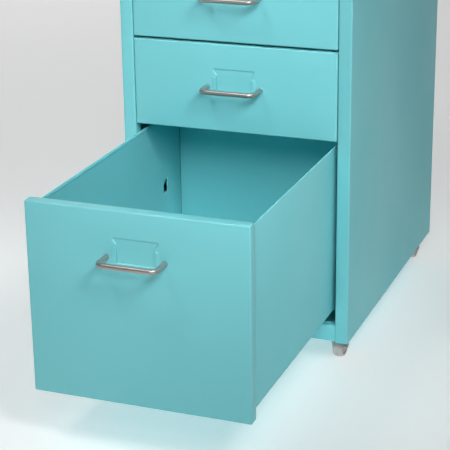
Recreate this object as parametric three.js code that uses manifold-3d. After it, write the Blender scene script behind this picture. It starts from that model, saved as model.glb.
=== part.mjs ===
// A sheet-steel drawer cabinet on casters: four single drawers over one of double height, which stands open.
// Millimetres, +Z up, +Y towards the back. The origin is on the floor under the middle of the outer box.
import * as THREE from "three";
import { mergeVertices } from "three/addons/utils/BufferGeometryUtils.js";
import Module from "manifold-3d";

const wasm = await Module();
wasm.setup();

// Driving dimensions
const width = 280;
const depth = 410;
const carcassHeight = 686;
const floorGap = 33; // the side panels' lower edge is this far above the floor
const sheet = 0.8; // steel thickness
const fold = 1.2; // bend radius at the middle of the sheet
const play = 0.3; // least gap between touching pieces

const flangeWidth = 15.5; // the side panel's front flange
const flangeReturn = 14;
const rearFlange = 12;
const railHeight = 21; // the rail across the foot of the front
const railSetBack = 1.5;
const railReturn = 10;
const plateRise = 8.8; // the bottom panel's upper face above the side panels' lower edge
const lipDepth = 14.5; // the top panel's lips

const drawerCount = 5;
const pitch = 106; // from one single drawer to the next
const frontGap = 3; // between drawer fronts
const firstFront = floorGap + 30; // the lowest front's lower edge
const frontSide = 1; // between a front and the flange beside it
const frontDepth = 13;
const opening = 285; // how far the lowest drawer stands open
const trayInset = 4.5; // from the front's side edge to the tray's outside
const trayDrop = 6; // from the front's upper or lower edge to the tray's
const trayStart = frontDepth + 0.6;
const trayEnd = 404;
const hemThickness = 2;
const hemHeight = 7;
const backFlange = 13;

const ledgeTip = 113; // runner ledge's inner edge, from the middle of the cabinet
const runnerWeb = 16;
const runnerLip = 5;
const runnerStart = 17;
const runnerEnd = 396;

const handleSpan = 64;
const handleReach = 25; // from the front's face to the middle of the bar
const handleRod = 3;
const handleBend = 8;
const handleDrop = 50.5; // below the front's upper edge

const labelWidth = 52;
const labelHeight = 31;
const labelDrop = 29.5; // from the front's upper edge to the label recess
const labelDepth = 1.2;

const stopWidth = 12; // the lanced stop tongue in each tray side
const stopHeight = 18;
const stopBack = 50; // ahead of the tray's back end
const stopReach = 7.2; // it leans out far enough to catch the flange's return

const casterX = 120.5;
const casterY = 30; // from the front or the back
const casterTrail = 7;
const wheelRadius = 15.5;
const wheelWidth = 14;
const forkGap = 0.7;
const forkSheet = 1.5;
const axleRadius = 2;
const kingpinRadius = 3;

// Worked out from the driving dimensions
const halfWidth = width / 2;
const skin = sheet / 2; // from a sheet's middle to its face
const frontHalf = halfWidth - flangeWidth - frontSide;
const trayHalf = frontHalf - trayInset;
const singleFront = pitch - frontGap;
const doubleFront = 2 * pitch + frontGap;
const plateLevel = floorGap + plateRise; // the bottom panel's upper face
const outerFront = -(opening + handleReach + handleRod);
const middleY = (outerFront + depth) / 2;

const powderTeal = new THREE.MeshStandardMaterial({ color: 0x7bc7cd, roughness: 0.42, metalness: 0 });
const satinNickel = new THREE.MeshStandardMaterial({ color: 0xc8c4c0, roughness: 0.28, metalness: 1 });
const zincPlate = new THREE.MeshStandardMaterial({ color: 0xb4b2b0, roughness: 0.4, metalness: 1 });
const greyPlastic = new THREE.MeshStandardMaterial({ color: 0xb0abaa, roughness: 0.55, metalness: 0 });

// A closed geometry as a solid that can be joined and cut.
function solid(geometry) {
  const bare = geometry.index ? geometry.toNonIndexed() : geometry.clone();
  bare.deleteAttribute("normal");
  bare.deleteAttribute("uv");
  const merged = mergeVertices(bare, 1e-4);
  return new wasm.Manifold(
    new wasm.Mesh({
      numProp: 3,
      vertProperties: new Float32Array(merged.attributes.position.array),
      triVerts: new Uint32Array(merged.index.array),
    }),
  );
}

function geometryOf(made) {
  const mesh = made.getMesh();
  const geometry = new THREE.BufferGeometry();
  geometry.setAttribute("position", new THREE.BufferAttribute(new Float32Array(mesh.vertProperties), 3));
  geometry.setIndex(new THREE.BufferAttribute(new Uint32Array(mesh.triVerts), 1));
  const flat = geometry.toNonIndexed();
  flat.computeVertexNormals();
  return flat;
}

function join(...pieces) {
  return pieces.reduce((whole, piece) => whole.add(piece));
}

function box(x0, x1, y0, y1, z0, z1) {
  const geometry = new THREE.BoxGeometry(Math.abs(x1 - x0), y1 - y0, z1 - z0);
  geometry.translate((x0 + x1) / 2, (y0 + y1) / 2, (z0 + z1) / 2);
  return solid(geometry);
}

const axes = {
  x: new THREE.Matrix4().makeBasis(
    new THREE.Vector3(0, 1, 0),
    new THREE.Vector3(0, 0, 1),
    new THREE.Vector3(1, 0, 0),
  ),
  y: new THREE.Matrix4().makeBasis(
    new THREE.Vector3(1, 0, 0),
    new THREE.Vector3(0, 0, 1),
    new THREE.Vector3(0, -1, 0),
  ),
  z: new THREE.Matrix4(),
};

// An outline in the plane across an axis, (y, z), (x, z) or (x, y), drawn out along that axis.
function drawn(shape, axis, from, to) {
  const geometry = new THREE.ExtrudeGeometry(shape, { depth: to - from, bevelEnabled: false, curveSegments: 6 });
  geometry.applyMatrix4(axes[axis]);
  const start = new THREE.Vector3();
  start[axis] = axis === "y" ? to : from;
  geometry.translate(start.x, start.y, start.z);
  return solid(geometry);
}

function outline(points) {
  return new THREE.Shape(points.map(([u, v]) => new THREE.Vector2(u, v)));
}

// The outline of a folded sheet, from the corner points of its middle line.
function foldedOutline(corners, steps = 3) {
  const path = corners.map(([u, v]) => new THREE.Vector2(u, v));
  const left = [];
  const right = [];
  const add = (point, normal) => {
    left.push(point.clone().addScaledVector(normal, skin));
    right.push(point.clone().addScaledVector(normal, -skin));
  };
  const leftOf = (way) => new THREE.Vector2(-way.y, way.x);
  path.forEach((point, i) => {
    const before = i > 0 ? point.clone().sub(path[i - 1]).normalize() : null;
    const after = i < path.length - 1 ? path[i + 1].clone().sub(point).normalize() : null;
    if (!before || !after) {
      add(point, leftOf(before ?? after));
      return;
    }
    const turn = Math.atan2(before.cross(after), before.dot(after));
    const side = Math.sign(turn);
    const start = point.clone().addScaledVector(before, -fold * Math.tan(Math.abs(turn) / 2));
    const centre = start.clone().addScaledVector(leftOf(before), side * fold);
    for (let step = 0; step <= steps; step += 1) {
      const normal = leftOf(before).rotateAround(new THREE.Vector2(), (turn * step) / steps);
      add(centre.clone().addScaledVector(normal, -side * fold), normal);
    }
  });
  return new THREE.Shape([...left, ...right.reverse()]);
}

function folded(corners, axis, from, to) {
  return drawn(foldedOutline(corners), axis, from, to);
}

function turned(profile, segments) {
  const geometry = new THREE.LatheGeometry(
    profile.map(([radius, along]) => new THREE.Vector2(radius, along)),
    segments,
  );
  return geometry;
}

function post(radius, x, y, z0, z1, segments = 16) {
  const geometry = new THREE.CylinderGeometry(radius, radius, z1 - z0, segments);
  geometry.rotateX(Math.PI / 2);
  geometry.translate(x, y, (z0 + z1) / 2);
  return solid(geometry);
}

function piece(name, made, material) {
  const mesh = new THREE.Mesh(made instanceof THREE.BufferGeometry ? made : geometryOf(made), material);
  mesh.name = name;
  return mesh;
}

// Carcass

function sidePanel(side) {
  const web = side * (halfWidth - skin);
  const inner = side * (halfWidth - flangeWidth + skin);
  return folded(
    [
      [inner, flangeReturn],
      [inner, skin],
      [web, skin],
      [web, depth - skin],
      [side * (halfWidth - rearFlange), depth - skin],
    ],
    "z",
    floorGap,
    floorGap + carcassHeight - sheet - play,
  );
}

function topPanel() {
  const level = floorGap + carcassHeight - skin;
  const lip = floorGap + carcassHeight - lipDepth;
  const half = halfWidth - flangeWidth - play - 0.1;
  const cover = folded([[skin, lip], [skin, level], [depth - skin, level], [depth - skin, lip]], "x", -half, half);
  const inner = halfWidth - sheet - 2 * play;
  const stiffener = (side) =>
    box(side * inner, side * (inner - sheet), flangeReturn + 2, depth - frontDepth, lip, level);
  const wings = box(-halfWidth, halfWidth, 0, depth, level - skin, level + skin);
  return join(cover, wings, stiffener(-1), stiffener(1));
}

function bottomPanel() {
  const half = halfWidth - flangeWidth - 2 * play;
  const level = plateLevel - skin;
  const front = railSetBack + sheet + 0.4 + skin;
  const back = depth - 3;
  const plate = folded([[front, level + 11], [front, level], [back, level], [back, level + 12]], "x", -half, half);
  const reach = halfWidth - 2.8;
  const wings = box(-reach, reach, flangeReturn + 2, back - 1, level - skin, level + skin);
  const stiffener = (side) =>
    box(side * reach, side * (reach - sheet), flangeReturn + 6, runnerEnd, level, level + 11);
  return join(plate, wings, stiffener(-1), stiffener(1));
}

function baseRail() {
  const half = halfWidth - flangeWidth - play;
  const face = railSetBack + skin;
  const lower = floorGap + 0.5 + skin;
  const upper = floorGap + railHeight - skin;
  return folded(
    [[face + railReturn - 2, lower], [face, lower], [face, upper], [face + railReturn, upper]],
    "x",
    -half,
    half,
  );
}

function backPanel() {
  const reach = halfWidth - 1.8;
  const level = depth - sheet - 0.5 - skin;
  return folded(
    [[-reach, level - 10], [-reach, level], [reach, level], [reach, level - 10]],
    "z",
    floorGap + 4,
    floorGap + carcassHeight - lipDepth - 1,
  );
}

function runner(side, ledge) {
  const web = side * (halfWidth - sheet - play - skin);
  const middle = ledge - skin;
  const tip = side * (ledgeTip + skin);
  return folded(
    [[web, middle + runnerWeb], [web, middle], [tip, middle], [tip, middle - runnerLip]],
    "y",
    runnerStart,
    runnerEnd,
  );
}

// Drawers, each in its own frame: y is 0 at the front's face and z is 0 at its lower edge

function pressedRecess(top) {
  const rim = 1.4;
  const frustum = (grow, from, to) => {
    const halfNear = labelWidth / 2 + grow;
    const halfFar = halfNear - rim;
    const near = [
      [-halfNear, top - labelHeight - grow],
      [halfNear, top - labelHeight - grow],
      [halfNear, top - 3 + grow],
      [halfNear - 3, top + grow],
      [-halfNear + 3, top + grow],
      [-halfNear, top - 3 + grow],
    ];
    const far = near.map(([u, v]) => [
      (u * halfFar) / halfNear,
      v > top - labelHeight / 2 ? v - rim : v + rim,
    ]);
    const corners = [...near.map(([u, v]) => [u, from, v]), ...far.map(([u, v]) => [u, to, v])];
    return hullOf(corners, near.length);
  };
  return { cup: frustum(sheet, 0, labelDepth + sheet), hollow: frustum(0, -0.01, labelDepth) };
}

// A closed prism between two like rings of points, the first ring nearer the viewer at the front.
function hullOf(corners, count) {
  const triangles = [];
  for (let i = 1; i < count - 1; i += 1) {
    triangles.push([0, i, i + 1]);
    triangles.push([count, count + i + 1, count + i]);
  }
  for (let i = 0; i < count; i += 1) {
    const next = (i + 1) % count;
    triangles.push([i, count + next, next]);
    triangles.push([i, count + i, count + next]);
  }
  const geometry = new THREE.BufferGeometry();
  const positions = triangles.flat().flatMap((index) => corners[index]);
  geometry.setAttribute("position", new THREE.BufferAttribute(new Float32Array(positions), 3));
  return solid(geometry);
}

function drawerFront(height) {
  const side = frontHalf - skin;
  const top = height - skin;
  const notch = 1.4;
  const upright = folded(
    [[frontDepth, skin], [skin, skin], [skin, top], [frontDepth, top]],
    "x",
    -(frontHalf - notch),
    frontHalf - notch,
  );
  const across = folded(
    [[-side, frontDepth], [-side, skin], [side, skin], [side, frontDepth]],
    "z",
    notch,
    height - notch,
  );
  const { cup, hollow } = pressedRecess(height - labelDrop);
  return join(upright, across, cup).subtract(hollow);
}

// The tongue hangs from the hole's upper edge and leans out of the tray.
function stopTongue(side, z) {
  const root = 0.5; // how deep it is buried in the wall above the hole
  const inner = trayHalf - sheet + 0.15;
  const outer = trayHalf - 0.15;
  const tip = outer + stopReach;
  const middle = trayEnd - stopBack;
  const section = [
    [inner, z + root],
    [outer, z + root],
    [outer, z],
    [tip, z - stopHeight + 1.4],
    [tip - sheet, z - stopHeight + 1],
    [inner, z - 1],
  ];
  return drawn(
    outline(section.map(([x, level]) => [side * x, level])),
    "y",
    middle - stopWidth / 2 + 1.5,
    middle + stopWidth / 2 - 1.5,
  );
}

function drawerTray(height) {
  const side = trayHalf - skin;
  const floor = trayDrop + skin;
  const top = height - trayDrop;
  const stopZ = trayDrop + (top - trayDrop) * 0.56;
  const body = folded([[-side, top], [-side, floor], [side, floor], [side, top]], "y", trayStart, trayEnd);
  const innerFront = box(-side, side, trayStart + 0.2, trayStart + 0.2 + sheet, floor, top - 1);
  const hem = (way) =>
    box(way * side, way * (trayHalf - hemThickness), trayStart + 0.5, trayEnd - 0.5, top - hemHeight, top - 0.2);
  const hole = box(
    -trayHalf - 1,
    trayHalf + 1,
    trayEnd - stopBack - stopWidth / 2,
    trayEnd - stopBack + stopWidth / 2,
    stopZ - stopHeight / 2,
    stopZ + stopHeight / 2,
  );
  return join(
    join(body, innerFront, hem(-1), hem(1)).subtract(hole),
    stopTongue(-1, stopZ + stopHeight / 2),
    stopTongue(1, stopZ + stopHeight / 2),
  );
}

function drawerBack(height) {
  const side = trayHalf + play + skin;
  const plate = trayEnd + play + skin;
  return folded(
    [[-side, plate - backFlange], [-side, plate], [side, plate], [side, plate - backFlange]],
    "z",
    trayDrop,
    height - trayDrop,
  );
}

// A straight run, a quarter bend, the bar, a quarter bend and a straight run back.
function handle() {
  const half = handleSpan / 2;
  const bar = -handleReach;
  const near = -play;
  const corner = handleBend * 0.5523; // a cubic curve's quarter circle
  const at = (x, y) => new THREE.Vector3(x, y, 0);
  const path = new THREE.CurvePath();
  path.add(new THREE.LineCurve3(at(-half, near), at(-half, bar + handleBend)));
  path.add(
    new THREE.CubicBezierCurve3(
      at(-half, bar + handleBend),
      at(-half, bar + handleBend - corner),
      at(-half + handleBend - corner, bar),
      at(-half + handleBend, bar),
    ),
  );
  path.add(new THREE.LineCurve3(at(-half + handleBend, bar), at(half - handleBend, bar)));
  path.add(
    new THREE.CubicBezierCurve3(
      at(half - handleBend, bar),
      at(half - handleBend + corner, bar),
      at(half, bar + handleBend - corner),
      at(half, bar + handleBend),
    ),
  );
  path.add(new THREE.LineCurve3(at(half, bar + handleBend), at(half, near)));
  const section = new THREE.Shape();
  section.absarc(0, 0, handleRod, 0, Math.PI * 2);
  return solid(
    new THREE.ExtrudeGeometry(section, {
      steps: 22,
      curveSegments: 4,
      bevelEnabled: false,
      extrudePath: path,
    }),
  );
}

// Casters, each in a frame on its swivel axis with z from the floor

const crownTop = plateLevel - sheet - play - forkSheet - 3.5;
const crownBottom = crownTop - forkSheet;
const forkInner = wheelWidth / 2 + forkGap;
const forkOuter = forkInner + forkSheet;

function casterPlate() {
  const top = plateLevel - sheet - play;
  const plate = box(-14, 14, -14, 14, top - forkSheet, top);
  const boss = post(9.5, 0, 0, crownTop + play, top - forkSheet / 2, 20);
  const kingpin = post(kingpinRadius, 0, 0, crownBottom - 1.5, top - forkSheet / 2, 14);
  const head = post(5, 0, 0, crownBottom - 2, crownBottom - play, 14);
  return join(plate, boss, kingpin, head);
}

function casterFork() {
  const crown = box(-forkOuter, forkOuter, -9, 12, crownBottom, crownTop);
  const eye = new THREE.Vector2(casterTrail, wheelRadius);
  const eyeRadius = 4.6;
  const leg = new THREE.Shape();
  leg.moveTo(-9, crownTop);
  leg.lineTo(-9, crownTop - 6);
  leg.lineTo(eye.x - eyeRadius, eye.y - 0.6);
  leg.absarc(eye.x, eye.y, eyeRadius, Math.PI, 2 * Math.PI);
  leg.lineTo(12, crownTop - 6);
  leg.lineTo(12, crownTop);
  const bore = new THREE.Path();
  bore.absarc(eye.x, eye.y, axleRadius + 0.35, 0, 2 * Math.PI, true);
  leg.holes.push(bore);
  const hole = post(kingpinRadius + 0.5, 0, 0, crownBottom - 1, crownTop + 1, 14);
  return join(
    crown.subtract(hole),
    drawn(leg, "x", forkInner, forkOuter),
    drawn(leg, "x", -forkOuter, -forkInner),
  );
}

function alongX(geometry) {
  geometry.rotateZ(-Math.PI / 2);
  geometry.translate(0, casterTrail, wheelRadius);
  return solid(geometry);
}

function casterAxle() {
  const half = forkOuter + play;
  const tip = half + 1.1;
  const head = axleRadius + 1.2;
  return alongX(
    turned(
      [
        [0, -tip],
        [head, -tip],
        [head, -half],
        [axleRadius, -half],
        [axleRadius, half],
        [head, half],
        [head, tip],
        [0, tip],
      ],
      12,
    ),
  );
}

function casterWheel() {
  const bore = axleRadius + 0.35;
  const half = wheelWidth / 2;
  const side = (way) => [
    [bore, way * half],
    [5, way * half],
    [5.6, way * (half - 1.4)],
    [10.6, way * (half - 1.4)],
    [11.4, way * (half - 0.4)],
    [wheelRadius, way * (half - 2.6)],
  ];
  return alongX(turned([...side(-1), ...side(1).reverse(), side(-1)[0]], 22));
}

// The whole cabinet

const cabinet = new THREE.Group();
cabinet.position.y = -middleY;

for (const [name, side] of [["left", -1], ["right", 1]]) {
  cabinet.add(piece(`side_panel_${name}`, sidePanel(side), powderTeal));
}
cabinet.add(piece("top_panel", topPanel(), powderTeal));
cabinet.add(piece("bottom_panel", bottomPanel(), powderTeal));
cabinet.add(piece("base_rail", baseRail(), powderTeal));
cabinet.add(piece("back_panel", backPanel(), powderTeal));

for (let number = 1; number <= drawerCount; number += 1) {
  const lowest = number === drawerCount;
  const height = lowest ? doubleFront : singleFront;
  const bottom = lowest ? firstFront : firstFront + doubleFront + frontGap + pitch * (drawerCount - 1 - number);
  for (const [name, side] of [["left", -1], ["right", 1]]) {
    cabinet.add(piece(`runner_${name}_${number}`, runner(side, bottom + trayDrop - 0.5), powderTeal));
  }
  const drawer = new THREE.Group();
  drawer.position.set(0, lowest ? -opening : 0, bottom);
  drawer.add(piece(`drawer_${number}_front`, drawerFront(height), powderTeal));
  drawer.add(piece(`drawer_${number}_tray`, drawerTray(height), powderTeal));
  drawer.add(piece(`drawer_${number}_back`, drawerBack(height), powderTeal));
  const pull = piece(`drawer_${number}_handle`, handle(), satinNickel);
  pull.position.z = height - handleDrop;
  drawer.add(pull);
  cabinet.add(drawer);
}

for (const [end, y] of [["front", casterY], ["rear", depth - casterY]]) {
  for (const [name, side] of [["left", -1], ["right", 1]]) {
    const caster = new THREE.Group();
    caster.position.set(side * casterX, y, 0);
    caster.add(piece(`caster_plate_${end}_${name}`, casterPlate(), zincPlate));
    caster.add(piece(`caster_fork_${end}_${name}`, casterFork(), zincPlate));
    caster.add(piece(`caster_axle_${end}_${name}`, casterAxle(), zincPlate));
    caster.add(piece(`caster_wheel_${end}_${name}`, casterWheel(), greyPlastic));
    cabinet.add(caster);
  }
}

const model = new THREE.Group();
model.add(cabinet);
export default model;
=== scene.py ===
import math

import bmesh
import bpy
from mathutils import Matrix, Vector


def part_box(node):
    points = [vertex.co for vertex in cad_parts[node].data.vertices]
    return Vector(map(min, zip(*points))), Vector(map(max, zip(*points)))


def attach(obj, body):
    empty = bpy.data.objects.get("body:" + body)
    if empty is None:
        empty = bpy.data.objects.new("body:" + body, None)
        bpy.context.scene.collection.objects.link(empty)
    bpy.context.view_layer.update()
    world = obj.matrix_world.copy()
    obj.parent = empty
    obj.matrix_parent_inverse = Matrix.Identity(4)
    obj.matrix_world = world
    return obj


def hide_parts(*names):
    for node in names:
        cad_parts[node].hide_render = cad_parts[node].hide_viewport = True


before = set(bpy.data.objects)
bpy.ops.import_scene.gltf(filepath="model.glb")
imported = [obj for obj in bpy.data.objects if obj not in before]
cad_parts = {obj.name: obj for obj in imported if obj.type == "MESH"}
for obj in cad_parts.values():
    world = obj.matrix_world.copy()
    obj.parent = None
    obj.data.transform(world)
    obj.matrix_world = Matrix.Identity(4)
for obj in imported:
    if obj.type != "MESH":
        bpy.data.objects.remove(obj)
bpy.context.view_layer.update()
mm = 0.001
drawerNumbers = range(1, 6)  # from the top down; the last drawer is the double one
print("frame loaded:", len(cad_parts), "nodes")

studio = {
    "cameraPlace": (0.5998, -1.6356, 0.7854),
    "yaw": 21.11,  # to the left, in degrees
    "pitch": 20.02,  # down
    "roll": -0.78,
    "lens": 122.05,
    "farClip": 30,
    "worldStrength": 0.07,
    "floorColor": (0.94, 0.94, 0.94, 1),
    "floorRoughness": 0.9,
    "floorGlow": 0.34,
    "floorHalf": 12,
}

# metres and watts; the last two are gridded to a narrow spread, and light the inside of the open drawer
cabinetMiddle = (0, -0.15, 0.35)
lamps = {
    "keyLamp": {"place": (-0.42, -0.82, 1.62), "size": 0.35, "power": 4.4},
    "softLamp": {"place": (-0.42, -0.82, 1.62), "size": 0.8, "power": 0.8},
    "sideLamp": {"place": (0.74, -0.28, 1.65), "size": 0.4, "power": 1.2},
    "rearLamp": {"place": (-1.5, 2.2, 1.6), "size": 1.6, "power": 15},
    "gridLamp": {
        "place": (0.444, -1.17, 1.05), "size": 0.5, "power": 0.55,
        "target": (0, 0.05, 0.3), "spread": 35,
    },
    "openLamp": {
        "place": (0.8, -0.9, 1.2), "size": 0.4, "power": 0.6,
        "target": (-0.1, -0.2, 0.25), "spread": 40,
    },
}


def addCamera():
    yaw, pitch, roll = (math.radians(studio[key]) for key in ("yaw", "pitch", "roll"))
    flat = math.cos(pitch)
    forward = Vector((-math.sin(yaw) * flat, math.cos(yaw) * flat, -math.sin(pitch)))
    right = Matrix.Rotation(-roll, 3, forward) @ Vector((math.cos(yaw), math.sin(yaw), 0))
    up = right.cross(forward)
    turn = Matrix((right, up, -forward)).transposed().to_4x4()
    data = bpy.data.cameras.new("camera")
    data.lens = studio["lens"]
    data.clip_end = studio["farClip"]
    camera = bpy.data.objects.new("camera", data)
    bpy.context.scene.collection.objects.link(camera)
    camera.matrix_world = Matrix.Translation(studio["cameraPlace"]) @ turn
    bpy.context.scene.camera = camera


def addLamp(name):
    facts = lamps[name]
    data = bpy.data.lights.new(name, "AREA")
    data.shape = "RECTANGLE"
    data.size = data.size_y = facts["size"]
    data.energy = facts["power"]
    data.spread = math.radians(facts.get("spread", 180))
    lamp = bpy.data.objects.new(name, data)
    bpy.context.scene.collection.objects.link(lamp)
    lamp.location = facts["place"]
    aim = Vector(facts.get("target", cabinetMiddle)) - Vector(facts["place"])
    lamp.rotation_euler = aim.to_track_quat("-Z", "Y").to_euler()


def addWorld():
    world = bpy.data.worlds.new("studioWorld")
    world.use_nodes = True
    background = world.node_tree.nodes["Background"]
    background.inputs["Color"].default_value = (1, 1, 1, 1)
    background.inputs["Strength"].default_value = studio["worldStrength"]
    bpy.context.scene.world = world
    bpy.context.scene.view_settings.view_transform = "Standard"


def addFloor():
    mesh = bpy.data.meshes.new("studioFloor")
    far = studio["floorHalf"]
    mesh.from_pydata([(-far, -far, 0), (far, -far, 0), (far, far, 0), (-far, far, 0)], [], [(0, 1, 2, 3)])
    floor = bpy.data.objects.new("studioFloor", mesh)
    bpy.context.scene.collection.objects.link(floor)
    paper = bpy.data.materials.new("paper")
    paper.use_nodes = True
    shader = paper.node_tree.nodes["Principled BSDF"]
    shader.inputs["Base Color"].default_value = studio["floorColor"]
    shader.inputs["Roughness"].default_value = studio["floorRoughness"]
    shader.inputs["Emission Color"].default_value = (1, 1, 1, 1)
    shader.inputs["Emission Strength"].default_value = studio["floorGlow"]
    mesh.materials.append(paper)


addCamera()
for lampName in lamps:
    addLamp(lampName)
addWorld()
addFloor()
print("studio ready")


# Shader node groups: each is an effect that several finishes share


def newGroup(name, inputs, outputs):
    group = bpy.data.node_groups.new(name, "ShaderNodeTree")
    for label, kind, value in inputs:
        socket = group.interface.new_socket(label, in_out="INPUT", socket_type=kind)
        socket.default_value = value
    for label, kind in outputs:
        group.interface.new_socket(label, in_out="OUTPUT", socket_type=kind)
    return group, group.nodes.new("NodeGroupInput"), group.nodes.new("NodeGroupOutput")


def mathNode(tree, operation, first, second=None):
    node = tree.nodes.new("ShaderNodeMath")
    node.operation = operation
    for socket, value in zip(node.inputs, (first, second)):
        if isinstance(value, bpy.types.NodeSocket):
            tree.links.new(value, socket)
        elif value is not None:
            socket.default_value = value
    return node.outputs[0]


def rangeNode(tree, value, low, high, to=(0.0, 1.0)):
    node = tree.nodes.new("ShaderNodeMapRange")
    node.interpolation_type = "SMOOTHSTEP"
    tree.links.new(value, node.inputs["Value"])
    for key, wanted in (("From Min", low), ("From Max", high), ("To Min", to[0]), ("To Max", to[1])):
        if isinstance(wanted, bpy.types.NodeSocket):
            tree.links.new(wanted, node.inputs[key])
        else:
            node.inputs[key].default_value = wanted
    return node.outputs["Result"]


def mixColor(tree, amount, first, second):
    node = tree.nodes.new("ShaderNodeMix")
    node.data_type = "RGBA"
    for socket, value in ((node.inputs[0], amount), (node.inputs[6], first), (node.inputs[7], second)):
        if isinstance(value, bpy.types.NodeSocket):
            tree.links.new(value, socket)
        else:
            socket.default_value = value
    return node.outputs[2]


def makeBendWear():
    # 1 on bends and softened edges, 0 on flats that face along an axis
    group, entry, leave = newGroup(
        "bendWear",
        [("Start", "NodeSocketFloat", 0.03), ("Full", "NodeSocketFloat", 0.25)],
        [("Mask", "NodeSocketFloat")],
    )
    place = group.nodes.new("ShaderNodeTexCoord")
    parts = group.nodes.new("ShaderNodeSeparateXYZ")
    group.links.new(place.outputs["Normal"], parts.inputs[0])
    sizes = [mathNode(group, "ABSOLUTE", socket) for socket in parts.outputs]
    largest = mathNode(group, "MAXIMUM", mathNode(group, "MAXIMUM", sizes[0], sizes[1]), sizes[2])
    lean = mathNode(group, "SUBTRACT", 1.0, largest)
    mask = rangeNode(group, lean, entry.outputs["Start"], entry.outputs["Full"])
    group.links.new(mask, leave.inputs["Mask"])
    return group


def makeFineGrain():
    # a small even texture, which Stretch draws out along a direction for brushed metal
    group, entry, leave = newGroup(
        "fineGrain",
        [
            ("Scale", "NodeSocketFloat", 600.0),
            ("Detail", "NodeSocketFloat", 2.0),
            ("Stretch", "NodeSocketVector", (1.0, 1.0, 1.0)),
        ],
        [("Grain", "NodeSocketFloat")],
    )
    place = group.nodes.new("ShaderNodeTexCoord")
    pull = group.nodes.new("ShaderNodeVectorMath")
    pull.operation = "MULTIPLY"
    group.links.new(place.outputs["Object"], pull.inputs[0])
    group.links.new(entry.outputs["Stretch"], pull.inputs[1])
    noise = group.nodes.new("ShaderNodeTexNoise")
    group.links.new(pull.outputs[0], noise.inputs["Vector"])
    group.links.new(entry.outputs["Scale"], noise.inputs["Scale"])
    group.links.new(entry.outputs["Detail"], noise.inputs["Detail"])
    group.links.new(noise.outputs["Fac"], leave.inputs["Grain"])
    return group


def makeClouding():
    # slow drift between two close colours over the piece
    group, entry, leave = newGroup(
        "clouding",
        [
            ("Color", "NodeSocketColor", (1, 1, 1, 1)),
            ("Drift", "NodeSocketColor", (1, 1, 1, 1)),
            ("Scale", "NodeSocketFloat", 6.0),
        ],
        [("Color", "NodeSocketColor"), ("Cloud", "NodeSocketFloat")],
    )
    place = group.nodes.new("ShaderNodeTexCoord")
    noise = group.nodes.new("ShaderNodeTexNoise")
    noise.inputs["Detail"].default_value = 3.0
    group.links.new(place.outputs["Object"], noise.inputs["Vector"])
    group.links.new(entry.outputs["Scale"], noise.inputs["Scale"])
    cloud = rangeNode(group, noise.outputs["Fac"], 0.35, 0.68)
    drifted = mixColor(group, cloud, entry.outputs["Color"], entry.outputs["Drift"])
    group.links.new(drifted, leave.inputs["Color"])
    group.links.new(cloud, leave.inputs["Cloud"])
    return group


def makeRestingDust():
    # a faint bloom on faces that look up
    group, entry, leave = newGroup(
        "restingDust",
        [("Amount", "NodeSocketFloat", 0.1), ("Scale", "NodeSocketFloat", 30.0)],
        [("Mask", "NodeSocketFloat")],
    )
    place = group.nodes.new("ShaderNodeTexCoord")
    parts = group.nodes.new("ShaderNodeSeparateXYZ")
    group.links.new(place.outputs["Normal"], parts.inputs[0])
    noise = group.nodes.new("ShaderNodeTexNoise")
    noise.inputs["Detail"].default_value = 5.0
    group.links.new(place.outputs["Object"], noise.inputs["Vector"])
    group.links.new(entry.outputs["Scale"], noise.inputs["Scale"])
    upward = rangeNode(group, parts.outputs["Z"], 0.6, 0.98)
    patchy = rangeNode(group, noise.outputs["Fac"], 0.3, 0.75)
    dusty = mathNode(group, "MULTIPLY", mathNode(group, "MULTIPLY", upward, patchy), entry.outputs["Amount"])
    group.links.new(dusty, leave.inputs["Mask"])
    return group


effects = {
    "bendWear": makeBendWear(),
    "fineGrain": makeFineGrain(),
    "clouding": makeClouding(),
    "restingDust": makeRestingDust(),
}


def placeEffect(tree, name, **values):
    node = tree.nodes.new("ShaderNodeGroup")
    node.node_tree = effects[name]
    for label, value in values.items():
        node.inputs[label].default_value = value
    return node


def bumpFrom(tree, height, distance, strength):
    bump = tree.nodes.new("ShaderNodeBump")
    bump.inputs["Distance"].default_value = distance
    bump.inputs["Strength"].default_value = strength
    tree.links.new(height, bump.inputs["Height"])
    return bump.outputs["Normal"]


def startMaterial(name, facts):
    # a material with the clouded colour that every finish here begins with
    material = bpy.data.materials.new(name)
    material.use_nodes = True
    tree = material.node_tree
    values = {"Color": facts["color"], "Drift": facts["drift"], "Scale": facts["cloudScale"]}
    return material, tree, tree.nodes["Principled BSDF"], placeEffect(tree, "clouding", **values)


tealPaint = {
    "color": (0.218, 0.690, 0.736, 1),
    "drift": (0.208, 0.668, 0.716, 1),
    "cloudScale": 5.0,
    "edge": (0.42, 0.84, 0.88, 1),
    "wear": {"Start": 0.02, "Full": 0.29},
    "wearAmount": 0.30,
    "dustColor": (0.60, 0.78, 0.80, 1),
    "dust": {"Amount": 0.05, "Scale": 26.0},
    "dustRoughness": 0.8,
    "peel": {"Scale": 620.0, "Detail": 1.5},
    "peelDepth": 0.12 * mm,
    "peelStrength": 0.35,
    "roughness": (0.44, 0.56),
    "specular": 0.3,
}


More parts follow.
